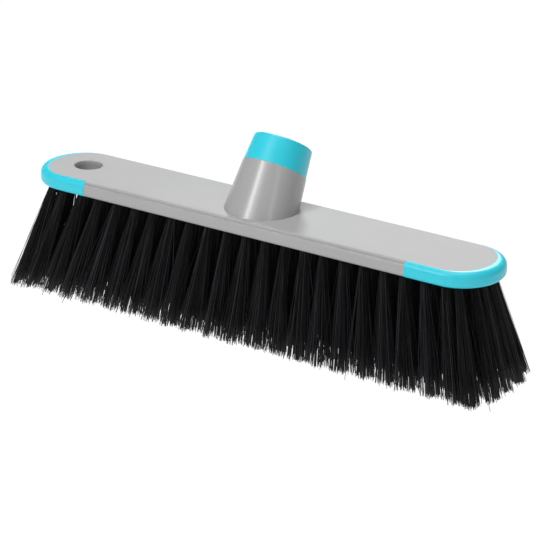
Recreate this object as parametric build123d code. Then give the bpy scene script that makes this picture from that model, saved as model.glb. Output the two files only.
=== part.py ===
from build123d import *
import os
from math import cos, hypot, radians, sin, sqrt

# Broom head: a moulded block with a leaning handle socket, soft end bumpers and staple-set
# tufts. Millimetres. +X runs along the head, away from the hang hole, +Y is the side that
# the handle leans to, and +Z is up. The origin is the middle of the bristle tips.

# Block
BLOCK_LENGTH = 300.0
BLOCK_WIDTH = 51.2
END_DEPTH = 24.0  # how far each half-elliptical end reaches along the block
BRISTLE_HEIGHT = 62.0  # underside of the board above the bristle tips
BOARD_THICKNESS = 7.5
COVER_THICKNESS = 1.5
LEDGE_WIDTH = 1.5  # how far the cover stands back from the board's edge
LEDGE_EDGE_RADIUS = 1.4
COVER_EDGE_RADIUS = 1.4
LOWER_EDGE_RADIUS = 2.4

BOARD_BOTTOM = BRISTLE_HEIGHT
BOARD_TOP = BOARD_BOTTOM + BOARD_THICKNESS
BLOCK_TOP = BOARD_TOP + COVER_THICKNESS

# End bumpers
BUMPER_RUNS = {-1: 43.0, 1: 45.0}  # length of block that each bumper wraps
BUMPER_WALL = 2.6
BUMPER_SHOULDER_RADIUS = 3.8
BUMPER_SIDE_LIP = 3.0  # reach of the lip over the cover, along the straight sides
BUMPER_END_LIP = 5.4  # the same at the very end
BUMPER_PROUD = 0.3
BUMPER_EDGE_RADIUS = 0.25

# Hang hole
HANG_HOLE_X = -123.6
HANG_HOLE_Y = 1.5
HANG_HOLE_RADIUS = 8.1  # in the cover
HANG_BOSS_RADIUS = 7.7  # in the board
HANG_RIM_RADIUS = 1.0

# Pegs that fix the cover to the board
PEG_RADIUS = 1.75
PEG_LENGTH = 4.4
PEG_PLAY = 0.05
PEG_END_GAP = 0.4

# Handle socket, measured along its own leaning axis from the top of the block
SOCKET_X = -2.1
SOCKET_Y = 0.3
SOCKET_LEAN = 32.7  # degrees from vertical
SOCKET_LENGTH = 39.7
SOCKET_BASE_RADIUS = 21.3
SOCKET_SEAT = 1.0  # how far the round foot is let into the cover
SOCKET_PLAY = 0.05
NECK_START = 23.3  # where the cone ends and the collar begins
NECK_RADIUS = 14.4
CONE_TOP_RADIUS = 18.8
CONE_EDGE_RADIUS = 0.4
COLLAR_BASE_RADIUS = 18.5
COLLAR_TOP_RADIUS = 17.0
COLLAR_EDGE_RADIUS = 1.6

# Female thread for a universal coarse broom handle
BORE_FLOOR = 6.5
BORE_RADIUS = 9.9  # the thread's crests
GROOVE_RADIUS = 11.1
GROOVE_MOUTH = 2.4
GROOVE_ROOT = 1.4
THREAD_PITCH = 5.0
THREAD_LENGTH = 28.0
GROOVE_OVERCUT = 0.5
MOUTH_CHAMFER = 1.2

# Tufts
ROW_PITCH = 9.0
TUFT_PITCH = 12.6
TUFT_EDGE_MARGIN = 5.5  # least distance from a tuft's axis to the block's outline
END_TUFT_GAP = 7.5  # room past a row's last even step that takes one more tuft
HANG_HOLE_MARGIN = 11.5  # least distance from a tuft's axis to the hang hole's axis
TUFT_LEAST_PITCH = 8.0
TUFT_HOLE_RADIUS = 2.25
TUFT_HOLE_DEPTH = 5.6
TUFT_ROOT_RADIUS = 2.2
TUFT_TIP_RADIUS = 4.5
TUFT_SIDES = 12
TUFT_GAP = 0.8  # room between the moving bristles and their roots
TIP_SPREAD_X = 18.0  # lengthwise lean at the outermost tuft
TIP_SPREAD_Y = 11.0  # sideways lean at the outer rows
STAPLE_SIZE = (5.4, 0.5, 2.0)
STAPLE_TOP_GAP = 0.2
ROOT_TOP_GAP = 0.1

ROWS = {"front": -2, "front_inner": -1, "centre": 0, "rear_inner": 1, "rear": 2}
OUTER_ROW = max(ROWS.values())
OUTERMOST_TUFT = 11 * TUFT_PITCH

CUTTER = 400.0  # larger than the whole head


def block_outline(side_inset, end_inset):
    """Plan of the block: straight sides closed by a half ellipse at each end."""
    side = BLOCK_WIDTH / 2 - side_inset
    depth = END_DEPTH - end_inset
    run = BLOCK_LENGTH / 2 - END_DEPTH
    front = Line((-run, -side), (run, -side))
    right = EllipticalCenterArc((run, 0), depth, side, start_angle=-90, arc_size=180)
    rear = Line((run, side), (-run, side))
    left = EllipticalCenterArc((-run, 0), depth, side, start_angle=90, arc_size=180)
    return make_face(front + right + rear + left)


def slab(inset, bottom, top, end_inset=None):
    """A plate of the block's plan, between two heights."""
    outline = block_outline(inset, inset if end_inset is None else end_inset)
    return extrude(Pos(0, 0, bottom) * outline, top - bottom)


def round_top(plate, radius):
    return fillet(plate.faces().sort_by(Axis.Z)[-1].edges(), radius)


def rounded_block(proud, top, top_radius):
    """A plate from the block's underside up, standing proud of its outline, with round edges."""
    plate = round_top(slab(-proud, BOARD_BOTTOM, top), top_radius)
    return fillet(plate.faces().sort_by(Axis.Z)[0].edges(), LOWER_EDGE_RADIUS)


def end_zone(side):
    """Everything beyond a bumper's inner end, at the -1 or +1 end of the block."""
    edge = BLOCK_LENGTH / 2 - BUMPER_RUNS[side]
    return Pos(side * (edge + CUTTER / 2), 0, 0) * Box(CUTTER, CUTTER, CUTTER)


def bumper_core():
    """What a bumper wraps: the board inside its wall and the cover inside its lip."""
    board_core = slab(BUMPER_WALL, BOARD_BOTTOM - 1, BOARD_TOP)
    cover_core = slab(BUMPER_SIDE_LIP, BOARD_TOP, BLOCK_TOP + 1, BUMPER_END_LIP)
    return board_core + cover_core


def bumper_space():
    """The part of both ends of the block that belongs to the bumpers."""
    whole = slab(-1.0, BOARD_BOTTOM - 1, BLOCK_TOP + 1) - bumper_core()
    return [whole & end_zone(side) for side in (-1, 1)]


def end_bumper(side):
    block = rounded_block(BUMPER_PROUD, BLOCK_TOP, BUMPER_SHOULDER_RADIUS)
    bumper = (block & end_zone(side)) - bumper_core()
    inner_end = bumper.faces().filter_by(Axis.X).sort_by(Axis.X)[0 if side > 0 else -1]
    edge_x = inner_end.center().X
    outer_edges = bumper.edges().filter_by(
        lambda edge: abs(edge.center().X - edge_x) < 0.01
        and abs(edge.center().Y) > BLOCK_WIDTH / 2 - BUMPER_WALL + 0.5
    )
    return fillet(outer_edges, BUMPER_EDGE_RADIUS)


def peg_places():
    """Midway between tufts of the outer rows, two near each end and two nearer the socket."""
    for step in (3.5, 7.5):
        for side_x in (-1, 1):
            for side_y in (-1, 1):
                yield side_x * step * TUFT_PITCH, side_y * OUTER_ROW * ROW_PITCH


def upright(radius, x, y, bottom, top):
    """A vertical cylinder between two heights."""
    height = top - bottom
    return Pos(x, y, bottom + height / 2) * Cylinder(radius, height)


SOCKET = Pos(SOCKET_X, SOCKET_Y, BLOCK_TOP) * Rot(-SOCKET_LEAN, 0, 0)
SOCKET_DIRECTION = (0, sin(radians(SOCKET_LEAN)), cos(radians(SOCKET_LEAN)))
SOCKET_AXIS = Axis((SOCKET_X, SOCKET_Y, BLOCK_TOP), SOCKET_DIRECTION)


def socket_tube(radius, start, end):
    """A cylinder on the socket's axis."""
    return SOCKET * Pos(0, 0, (start + end) / 2) * Cylinder(radius, end - start)


def socket_foot(radius):
    """The round foot below the top of the block, or the seat for it."""
    return upright(radius, SOCKET_X, SOCKET_Y, BLOCK_TOP - SOCKET_SEAT, BLOCK_TOP)


def socket_cone():
    """The socket's outside, from a round base on the block to a leaning round top."""
    base = Pos(SOCKET_X, SOCKET_Y, BLOCK_TOP) * Circle(SOCKET_BASE_RADIUS)
    top = SOCKET * Pos(0, 0, NECK_START) * Circle(CONE_TOP_RADIUS)
    cone = loft([base, top], ruled=True)
    rim = cone.edges().sort_by(SOCKET_AXIS)[-1]
    return fillet(rim, CONE_EDGE_RADIUS)


def thread_groove():
    """One helical groove from above the mouth down to where the thread runs out."""
    inner = BORE_RADIUS - GROOVE_OVERCUT
    corners = [
        (inner, -GROOVE_MOUTH / 2),
        (GROOVE_RADIUS, -GROOVE_ROOT / 2),
        (GROOVE_RADIUS, GROOVE_ROOT / 2),
        (inner, GROOVE_MOUTH / 2),
    ]
    profile = Plane.XZ * Polygon(*corners, align=None)
    path = Helix(THREAD_PITCH, THREAD_LENGTH + THREAD_PITCH, BORE_RADIUS)
    groove = sweep(profile, path, is_frenet=True)
    return SOCKET * Pos(0, 0, SOCKET_LENGTH - THREAD_LENGTH) * groove


def handle_bore():
    bore = socket_tube(BORE_RADIUS, BORE_FLOOR, SOCKET_LENGTH + 1)
    mouth = Cone(BORE_RADIUS, BORE_RADIUS + 2 * MOUTH_CHAMFER, 2 * MOUTH_CHAMFER)
    return bore + SOCKET * Pos(0, 0, SOCKET_LENGTH) * mouth


def top_cover():
    cover = round_top(slab(LEDGE_WIDTH, BOARD_TOP, BLOCK_TOP), COVER_EDGE_RADIUS)
    for space in bumper_space():
        cover -= space
    cover -= upright(HANG_HOLE_RADIUS, HANG_HOLE_X, HANG_HOLE_Y, BOARD_TOP - 1, BLOCK_TOP + 1)
    rim = cover.edges().filter_by(GeomType.CIRCLE).filter_by(
        lambda edge: abs(edge.arc_center.X - HANG_HOLE_X) < 0.01 and edge.center().Z > BLOCK_TOP - 0.1
    )
    cover = fillet(rim, HANG_RIM_RADIUS)
    cover -= socket_foot(SOCKET_BASE_RADIUS + SOCKET_PLAY)
    for x, y in peg_places():
        cover += upright(PEG_RADIUS, x, y, BOARD_TOP - PEG_LENGTH, BOARD_TOP + 0.5)
    return cover


def handle_socket():
    """A foot let into the cover, a leaning cone, and a neck inside the collar."""
    socket = socket_cone() + socket_foot(SOCKET_BASE_RADIUS)
    socket += socket_tube(NECK_RADIUS, NECK_START - 1, SOCKET_LENGTH)
    return socket - handle_bore() - thread_groove()


def socket_collar():
    length = SOCKET_LENGTH - NECK_START
    sleeve = Cone(COLLAR_BASE_RADIUS, COLLAR_TOP_RADIUS, length)
    rim = sleeve.edges().sort_by(Axis.Z)[-1]
    sleeve = fillet(rim, COLLAR_EDGE_RADIUS)
    sleeve -= Cylinder(NECK_RADIUS, 2 * length)
    return SOCKET * Pos(0, 0, NECK_START + length / 2) * sleeve


def end_limit(y):
    """How far along the block a tuft may stand at a given distance from the middle line."""
    run = BLOCK_LENGTH / 2 - END_DEPTH
    across = BLOCK_WIDTH / 2 - TUFT_EDGE_MARGIN
    return run + (END_DEPTH - TUFT_EDGE_MARGIN) * sqrt(1 - (y / across) ** 2)


def beside_hang_hole(x, y):
    """A tuft's place along its row, moved aside if it would meet the hang hole."""
    across = y - HANG_HOLE_Y
    if hypot(x - HANG_HOLE_X, across) >= HANG_HOLE_MARGIN:
        return x
    side = 1 if x > HANG_HOLE_X else -1
    return HANG_HOLE_X + side * sqrt(HANG_HOLE_MARGIN**2 - across**2)


def tuft_places(row):
    """Tuft axes of one row: even steps, a last one in each corner, and room for the hang hole."""
    y = row * ROW_PITCH
    limit = end_limit(y)
    steps = int(limit / TUFT_PITCH)
    places = [step * TUFT_PITCH for step in range(-steps, steps + 1)]
    if limit - steps * TUFT_PITCH > END_TUFT_GAP:
        places = [-limit, *places, limit]
    for place in places:
        x = beside_hang_hole(place, y)
        if all(abs(x - other) > TUFT_LEAST_PITCH for other in places if other != place):
            yield x, y


def tuft(x, y):
    """The free bristles of one tuft, leaning and fanning out towards the floor."""
    tip_x = x + TIP_SPREAD_X * x / OUTERMOST_TUFT
    tip_y = y + TIP_SPREAD_Y * y / (OUTER_ROW * ROW_PITCH)
    top = Pos(x, y, BOARD_BOTTOM - TUFT_GAP) * RegularPolygon(TUFT_ROOT_RADIUS, TUFT_SIDES)
    tip = Pos(tip_x, tip_y, 0) * RegularPolygon(TUFT_TIP_RADIUS, TUFT_SIDES)
    return loft([tip, top], ruled=True)


def staple(x, y):
    """The flat anchor wire that pins a folded tuft and bites into the hole's wall."""
    top = BOARD_BOTTOM + TUFT_HOLE_DEPTH - STAPLE_TOP_GAP
    return Pos(x, y, top - STAPLE_SIZE[2] / 2) * Box(*STAPLE_SIZE)


def tuft_root(x, y):
    """The folded end of a tuft in its hole, with the staple through the fold."""
    top = BOARD_BOTTOM + TUFT_HOLE_DEPTH - ROOT_TOP_GAP
    return upright(TUFT_ROOT_RADIUS, x, y, BOARD_BOTTOM, top) - staple(x, y)


def brush_board():
    board = rounded_block(0.0, BOARD_TOP, LEDGE_EDGE_RADIUS)
    for space in bumper_space():
        board -= space
    cutters = [upright(HANG_BOSS_RADIUS, HANG_HOLE_X, HANG_HOLE_Y, BOARD_BOTTOM - 1, BOARD_TOP + 1)]
    for x, y in peg_places():
        bottom = BOARD_TOP - PEG_LENGTH - PEG_END_GAP
        cutters.append(upright(PEG_RADIUS + PEG_PLAY, x, y, bottom, BOARD_TOP + 1))
    hole_top = BOARD_BOTTOM + TUFT_HOLE_DEPTH
    for row in ROWS.values():
        for x, y in tuft_places(row):
            cutters.append(upright(TUFT_HOLE_RADIUS, x, y, BOARD_BOTTOM - 1, hole_top))
            cutters.append(staple(x, y))
    return board - cutters


def write(node, *shapes):
    solids = [solid for shape in shapes for solid in shape.solids()]
    export_step(Compound(solids), f"parts/{node}.step")


def main():
    os.makedirs("parts", exist_ok=True)
    write("top_cover", top_cover())
    write("brush_board", brush_board())
    write("handle_socket", handle_socket())
    write("socket_collar", socket_collar())
    write("end_bumper_left", end_bumper(-1))
    write("end_bumper_right", end_bumper(1))
    for name, row in ROWS.items():
        places = list(tuft_places(row))
        write(f"bristles_{name}", *[tuft(x, y) for x, y in places])
        write(f"roots_{name}", *[tuft_root(x, y) for x, y in places])
        write(f"staples_{name}", *[staple(x, y) for x, y in places])


main()
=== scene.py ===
from math import cos, radians, sin

import bpy
import numpy as np
from mathutils import Matrix, Vector

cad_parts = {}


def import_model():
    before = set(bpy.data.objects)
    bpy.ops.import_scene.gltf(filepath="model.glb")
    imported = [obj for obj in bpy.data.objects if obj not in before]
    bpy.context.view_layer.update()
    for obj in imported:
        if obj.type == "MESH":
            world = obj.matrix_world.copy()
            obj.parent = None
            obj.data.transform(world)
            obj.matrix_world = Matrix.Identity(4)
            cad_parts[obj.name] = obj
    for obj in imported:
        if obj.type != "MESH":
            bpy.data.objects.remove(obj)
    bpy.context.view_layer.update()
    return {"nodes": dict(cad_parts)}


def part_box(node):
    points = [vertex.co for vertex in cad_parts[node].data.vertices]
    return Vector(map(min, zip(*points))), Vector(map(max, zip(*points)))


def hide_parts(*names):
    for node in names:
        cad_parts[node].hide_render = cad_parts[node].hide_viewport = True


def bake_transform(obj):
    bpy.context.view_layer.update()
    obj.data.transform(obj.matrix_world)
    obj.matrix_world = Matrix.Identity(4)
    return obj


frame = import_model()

MM = 0.001
ROWS = ("front", "front_inner", "centre", "rear_inner", "rear")

# Camera: a long lens from the front right and above, rolled a little
CAMERA_AZIMUTH = 31.7  # degrees, from straight in front towards the right
CAMERA_ELEVATION = 21.4
CAMERA_ROLL = 1.85
CAMERA_DISTANCE = 1.427
CAMERA_LENS = 162.9
CAMERA_AIM = (10.0 * MM, -31.3 * MM)  # right and up from the middle of the board's underside

# Studio
FLOOR_REACH = 6.0  # from the middle of the floor to each of its edges
WORLD_STRENGTH = 0.16

# Bristles
FILAMENTS_PER_TUFT = 150
FILAMENT_RADIUS = 0.15 * MM
FILAMENT_SIDES = 5
FILAMENT_SEGMENTS = 5
FILAMENT_BOW = 0.3 * MM  # typical sideways bow of a filament at its middle
ROOT_DISC = 2.0 * MM  # radius of the bundle where it leaves its hole
ROOT_SINK = 0.3 * MM  # how far the filaments start inside the hole
TIP_FAN = (10.5 * MM, 8.0 * MM)  # reach of a tuft's tips along and across the head
TIP_CROSSING = 0.35  # how much of a filament's place at the tip is chance
TIP_SCATTER = 0.4 * MM
TIP_WEAR = 0.6 * MM  # mean shortening of single filaments
END_SQUEEZE = 0.5  # how much less the very last tuft of a row fans outwards
END_SQUEEZE_POWER = 4  # how quickly that fades away from the row's end
CLUMPS_PER_TUFT = 5
CLUMP_GATHER = 0.3  # how far filaments may draw together towards their clump
CLUMP_CUT = 0.8 * MM  # how unevenly the clumps are trimmed
STRAY_SHARE = 0.02
STRAY_REACH = 7.0 * MM
TUFT_CORNERS = 12  # corners of each flat end of a CAD tuft
FLAT_END = 0.1 * MM  # how far from its end a tuft solid's corners count as the end
SEED = 20

# Materials: noise scales are in features per metre
TONE_DETAIL = 3
GRAIN_DETAIL = 2
GRAIN_RELIEF = 0.03 * MM
GRAIN_ROUGHNESS = 0.04  # how far the plastic's grain moves its roughness up and down


# ---------------------------------------------------------------- bristles


def ring_centres(points):
    """Middles of a row's equal rings of corners, in order along X."""
    corners = np.unique(points.round(6), axis=0)
    return corners.reshape(-1, TUFT_CORNERS, 3).mean(1)


def tuft_axes(row):
    """Root and tip centres of each tuft, read from the flat ends of the row's CAD solids."""
    vertices = frame["nodes"][f"bristles_{row}"].data.vertices
    points = np.array([vertex.co for vertex in vertices])
    height = points[:, 2]
    roots = ring_centres(points[height > height.max() - FLAT_END])
    tips = ring_centres(points[height < height.min() + FLAT_END])
    return list(zip(roots, tips))


def disc_points(rng, count):
    """Scattered points in a unit disc, in the XY plane."""
    angle = rng.uniform(0, 2 * np.pi, count)
    reach = np.sqrt(rng.uniform(0, 1, count))
    flat = np.zeros(count)
    return np.stack([reach * np.cos(angle), reach * np.sin(angle), flat], 1)


def fan_out(rng, place, clump_place):
    """Each filament's place at the tips: near its place at the root, drawn towards its clump."""
    gather = rng.uniform(0, CLUMP_GATHER, (FILAMENTS_PER_TUFT, 1))
    fan = place * (1 - TIP_CROSSING) + disc_points(rng, FILAMENTS_PER_TUFT) * TIP_CROSSING
    return fan * (1 - gather) + clump_place * gather


def squeeze_at_end(fan, tip, half_length):
    """Narrows the outward half of the fan of a tuft near the end of its row."""
    outward = fan[:, 0] * tip[0] > 0
    nearness = (abs(tip[0]) / half_length) ** END_SQUEEZE_POWER
    fan[outward, 0] *= 1 - END_SQUEEZE * nearness


def tuft_filaments(rng, root, tip, mouth, half_length):
    """Start, end and bow of each filament of one tuft."""
    place = disc_points(rng, FILAMENTS_PER_TUFT)
    start = np.array([root[0], root[1], mouth + ROOT_SINK]) + place * ROOT_DISC
    clump_middle = disc_points(rng, CLUMPS_PER_TUFT)
    clump_cut = rng.uniform(0, CLUMP_CUT, CLUMPS_PER_TUFT)
    from_clumps = np.linalg.norm(place[:, None] - clump_middle[None], axis=2)
    clump = np.argmin(from_clumps, axis=1)
    fan = fan_out(rng, place, clump_middle[clump])
    squeeze_at_end(fan, tip, half_length)
    end = np.array([tip[0], tip[1], 0.0]) + fan * (*TIP_FAN, 0)
    end += rng.normal(0, TIP_SCATTER, end.shape)
    stray = rng.uniform(0, 1, FILAMENTS_PER_TUFT) < STRAY_SHARE
    end[stray] += place[stray] * STRAY_REACH
    end[:, 2] = clump_cut[clump] + rng.exponential(TIP_WEAR, FILAMENTS_PER_TUFT)
    bow = rng.normal(0, FILAMENT_BOW, (FILAMENTS_PER_TUFT, 3))
    bow[:, 2] = 0
    return start, end, bow


def tube_points(start, end, bow):
    """Corners of every tube, ring by ring from its start to its end."""
    t = np.linspace(0, 1, FILAMENT_SEGMENTS + 1)
    path = start[:, None] + (end - start)[:, None] * t[None, :, None]
    path += bow[:, None] * np.sin(np.pi * t)[None, :, None]
    turn = np.linspace(0, 2 * np.pi, FILAMENT_SIDES, endpoint=False)
    circle = np.stack([np.cos(turn), np.sin(turn), 0 * turn], 1) * FILAMENT_RADIUS
    return (path[:, :, None] + circle[None, None]).reshape(-1, 3)


def tube_faces(count):
    """Side faces and tip faces of a number of tubes, as rows of corner numbers."""
    first = np.arange(count) * (FILAMENT_SEGMENTS + 1) * FILAMENT_SIDES
    side = np.arange(FILAMENT_SIDES)
    following = (side + 1) % FILAMENT_SIDES
    quads = []
    for segment in range(FILAMENT_SEGMENTS):
        low = segment * FILAMENT_SIDES
        high = low + FILAMENT_SIDES
        quad = np.stack([low + side, high + side, high + following, low + following], 1)
        quads.append(first[:, None, None] + quad[None])
    quads = np.concatenate(quads, 1).reshape(-1, 4)
    tips = first[:, None] + FILAMENT_SEGMENTS * FILAMENT_SIDES + side[None, ::-1]
    return quads.tolist(), tips.tolist()


def tube_mesh(name, start, end, bow):
    """One mesh of thin round tubes from start to end, each closed at its tip."""
    quads, tips = tube_faces(len(start))
    mesh = bpy.data.meshes.new(name)
    mesh.from_pydata(tube_points(start, end, bow).tolist(), [], quads + tips)
    smooth = np.ones(len(mesh.polygons), bool)
    smooth[len(quads):] = False
    mesh.polygons.foreach_set("use_smooth", smooth)
    mesh.update()
    return mesh


def bristle_row(index, row, material):
    """A row's filaments, which stand for its solid tufts and run from each tuft's root to its tip.
    """
    rng = np.random.default_rng(SEED + index)
    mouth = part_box("brush_board")[0].z
    half_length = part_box(f"bristles_{row}")[1].x
    parts = [tuft_filaments(rng, root, tip, mouth, half_length) for root, tip in tuft_axes(row)]
    start, end, bow = (np.concatenate(column) for column in zip(*parts))
    mesh = tube_mesh(f"filaments_{row}", start, end, bow)
    mesh.materials.append(material)
    piece = bpy.data.objects.new(f"filaments_{row}", mesh)
    bpy.context.scene.collection.objects.link(piece)
    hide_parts(f"bristles_{row}")
    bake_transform(piece)


# ---------------------------------------------------------------- materials


def grey(value):
    return (value, value, value, 1)


def new_material(name):
    material = bpy.data.materials.new(name)
    material.use_nodes = True
    nodes = material.node_tree.nodes
    return material, nodes, material.node_tree.links, nodes["Principled BSDF"]


def object_noise(nodes, links, scale, detail):
    """Noise in the object's own metres."""
    place = nodes.new("ShaderNodeTexCoord")
    noise = nodes.new("ShaderNodeTexNoise")
    noise.inputs["Scale"].default_value = scale
    noise.inputs["Detail"].default_value = detail
    links.new(place.outputs["Object"], noise.inputs["Vector"])
    return noise.outputs["Fac"]


def ramp(nodes, links, value, low, high, start=0.3, end=0.7):
    """Runs from the low colour to the high one as value goes from start to end."""
    node = nodes.new("ShaderNodeValToRGB")
    node.color_ramp.elements[0].position = start
    node.color_ramp.elements[1].position = end
    node.color_ramp.elements[0].color = low
    node.color_ramp.elements[1].color = high
    links.new(value, node.inputs["Fac"])
    return node.outputs["Color"]


def bump(nodes, links, height, strength):
    node = nodes.new("ShaderNodeBump")
    node.inputs["Strength"].default_value = strength
    node.inputs["Distance"].default_value = GRAIN_RELIEF
    links.new(height, node.inputs["Height"])
    return node.outputs["Normal"]


def moulded(name, tone_scale, tones, grain_scale, roughness, relief, gloss):
    """A moulded surface: slightly uneven colour, with a fine grain in its roughness and relief."""
    material, nodes, links, shader = new_material(name)
    shader.inputs["Specular IOR Level"].default_value = gloss
    tone = object_noise(nodes, links, tone_scale, TONE_DETAIL)
    links.new(ramp(nodes, links, tone, *tones), shader.inputs["Base Color"])
    grain = object_noise(nodes, links, grain_scale, GRAIN_DETAIL)
    low, high = (grey(value) for value in roughness)
    links.new(ramp(nodes, links, grain, low, high), shader.inputs["Roughness"])
    links.new(bump(nodes, links, grain, relief), shader.inputs["Normal"])
    return material


def grey_plastic(name, roughness, gloss):
    """Grey polypropylene."""
    return moulded(
        name,
        tone_scale=35,
        tones=(grey(0.40), grey(0.42)),
        grain_scale=3500,
        roughness=(roughness - GRAIN_ROUGHNESS, roughness + GRAIN_ROUGHNESS),
        relief=0.12,
        gloss=gloss,
    )


def soft_rubber():
    """Turquoise thermoplastic rubber."""
    return moulded(
        "turquoise_rubber",
        tone_scale=60,
        tones=((0.025, 0.63, 0.77, 1), (0.035, 0.67, 0.81, 1)),
        grain_scale=2500,
        roughness=(0.34, 0.44),
        relief=0.15,
        gloss=0.5,
    )


def bristle_fibre():
    """Black synthetic fibre, a little lighter and glossier in some filaments."""
    material, nodes, links, shader = new_material("black_bristle")
    single = nodes.new("ShaderNodeNewGeometry").outputs["Random Per Island"]
    low = (0.002, 0.002, 0.003, 1)
    high = (0.045, 0.045, 0.056, 1)
    links.new(ramp(nodes, links, single, low, high, 0.7, 1), shader.inputs["Base Color"])
    links.new(ramp(nodes, links, single, grey(0.55), grey(0.3)), shader.inputs["Roughness"])
    shader.inputs["Specular IOR Level"].default_value = 0.3
    return material


def staple_steel():
    """Drawn steel wire."""
    material, nodes, links, shader = new_material("staple_wire")
    shader.inputs["Metallic"].default_value = 1
    tone = object_noise(nodes, links, 900, GRAIN_DETAIL)
    links.new(ramp(nodes, links, tone, grey(0.5), grey(0.65)), shader.inputs["Base Color"])
    links.new(ramp(nodes, links, tone, grey(0.25), grey(0.4)), shader.inputs["Roughness"])
    return material


def dress(node, material):
    """Gives a CAD node its material."""
    piece = frame["nodes"][node]
    if not piece.material_slots:
        piece.data.materials.append(None)
    for place in piece.material_slots:
        place.link = "OBJECT"
        place.material = material


# ---------------------------------------------------------------- stage


def floor():
    """An evenly white floor: it takes no light and gives off its own."""
    reach = FLOOR_REACH
    mesh = bpy.data.meshes.new("floor")
    corners = [(-reach, -reach, 0), (reach, -reach, 0), (reach, reach, 0), (-reach, reach, 0)]
    mesh.from_pydata(corners, [], [(0, 1, 2, 3)])
    material, _, _, shader = new_material("pale_floor")
    shader.inputs["Base Color"].default_value = grey(0)
    shader.inputs["Roughness"].default_value = 0.9
    shader.inputs["Specular IOR Level"].default_value = 0.1
    shader.inputs["Emission Color"].default_value = grey(1)
    shader.inputs["Emission Strength"].default_value = 1
    mesh.materials.append(material)
    piece = bpy.data.objects.new("floor", mesh)
    bpy.context.scene.collection.objects.link(piece)


def world():
    scene = bpy.context.scene
    scene.world = bpy.data.worlds.new("studio")
    scene.world.use_nodes = True
    background = scene.world.node_tree.nodes["Background"]
    background.inputs["Color"].default_value = grey(1)
    background.inputs["Strength"].default_value = WORLD_STRENGTH


def camera_axes():
    """The camera's right, up and backward directions before its roll."""
    azimuth = radians(CAMERA_AZIMUTH)
    elevation = radians(CAMERA_ELEVATION)
    across = cos(elevation)
    back = Vector((sin(azimuth) * across, -cos(azimuth) * across, sin(elevation)))
    right = Vector((cos(azimuth), sin(azimuth), 0))
    return right, back.cross(right), back


def camera():
    right, up, back = camera_axes()
    lo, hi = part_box("brush_board")
    middle = Vector(((lo.x + hi.x) / 2, (lo.y + hi.y) / 2, lo.z))
    aim = middle + right * CAMERA_AIM[0] + up * CAMERA_AIM[1]
    data = bpy.data.cameras.new("camera")
    data.lens = CAMERA_LENS
    piece = bpy.data.objects.new("camera", data)
    level = Matrix((right, up, back)).transposed()
    rolled = level @ Matrix.Rotation(radians(CAMERA_ROLL), 3, "Z")
    piece.matrix_world = Matrix.Translation(aim + back * CAMERA_DISTANCE) @ rolled.to_4x4()
    bpy.context.scene.collection.objects.link(piece)
    bpy.context.scene.camera = piece


def softbox(name, direction, distance, size, power):
    """A square area light that faces the top of the board from a direction."""
    target = Vector((0, 0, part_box("brush_board")[1].z))
    way = Vector(direction).normalized()
    data = bpy.data.lights.new(name, "AREA")
    data.shape = "SQUARE"
    data.size = size
    data.energy = power
    piece = bpy.data.objects.new(name, data)
    piece.location = target + way * distance
    piece.rotation_euler = way.to_track_quat("Z", "Y").to_euler()
    bpy.context.scene.collection.objects.link(piece)


# ---------------------------------------------------------------- making

bpy.context.scene.view_settings.view_transform = "Standard"
camera()
world()
floor()
softbox("overhead", (0, 0, 1), distance=1.6, size=1.2, power=14)
softbox("back", (-0.375, 0.745, 0.552), distance=4.0, size=0.6, power=62)
softbox("front", (-0.21, -0.76, 0.62), distance=1.6, size=0.7, power=5.8)
softbox("front_core", (-0.28, -0.735, 0.615), distance=1.5, size=0.14, power=3.8)
softbox("right_core", (0.72, -0.51, 0.47), distance=1.5, size=0.2, power=1.1)

matt_plastic = grey_plastic("matt_grey_plastic", roughness=0.55, gloss=0.3)
satin_plastic = grey_plastic("satin_grey_plastic", roughness=0.28, gloss=0.5)
rubber = soft_rubber()
fibre = bristle_fibre()
steel = staple_steel()
dress("top_cover", matt_plastic)
for node in ("handle_socket", "brush_board"):
    dress(node, satin_plastic)
for node in ("end_bumper_left", "end_bumper_right", "socket_collar"):
    dress(node, rubber)
for index, row in enumerate(ROWS):
    dress(f"roots_{row}", fibre)
    dress(f"staples_{row}", steel)
    bristle_row(index, row, fibre)
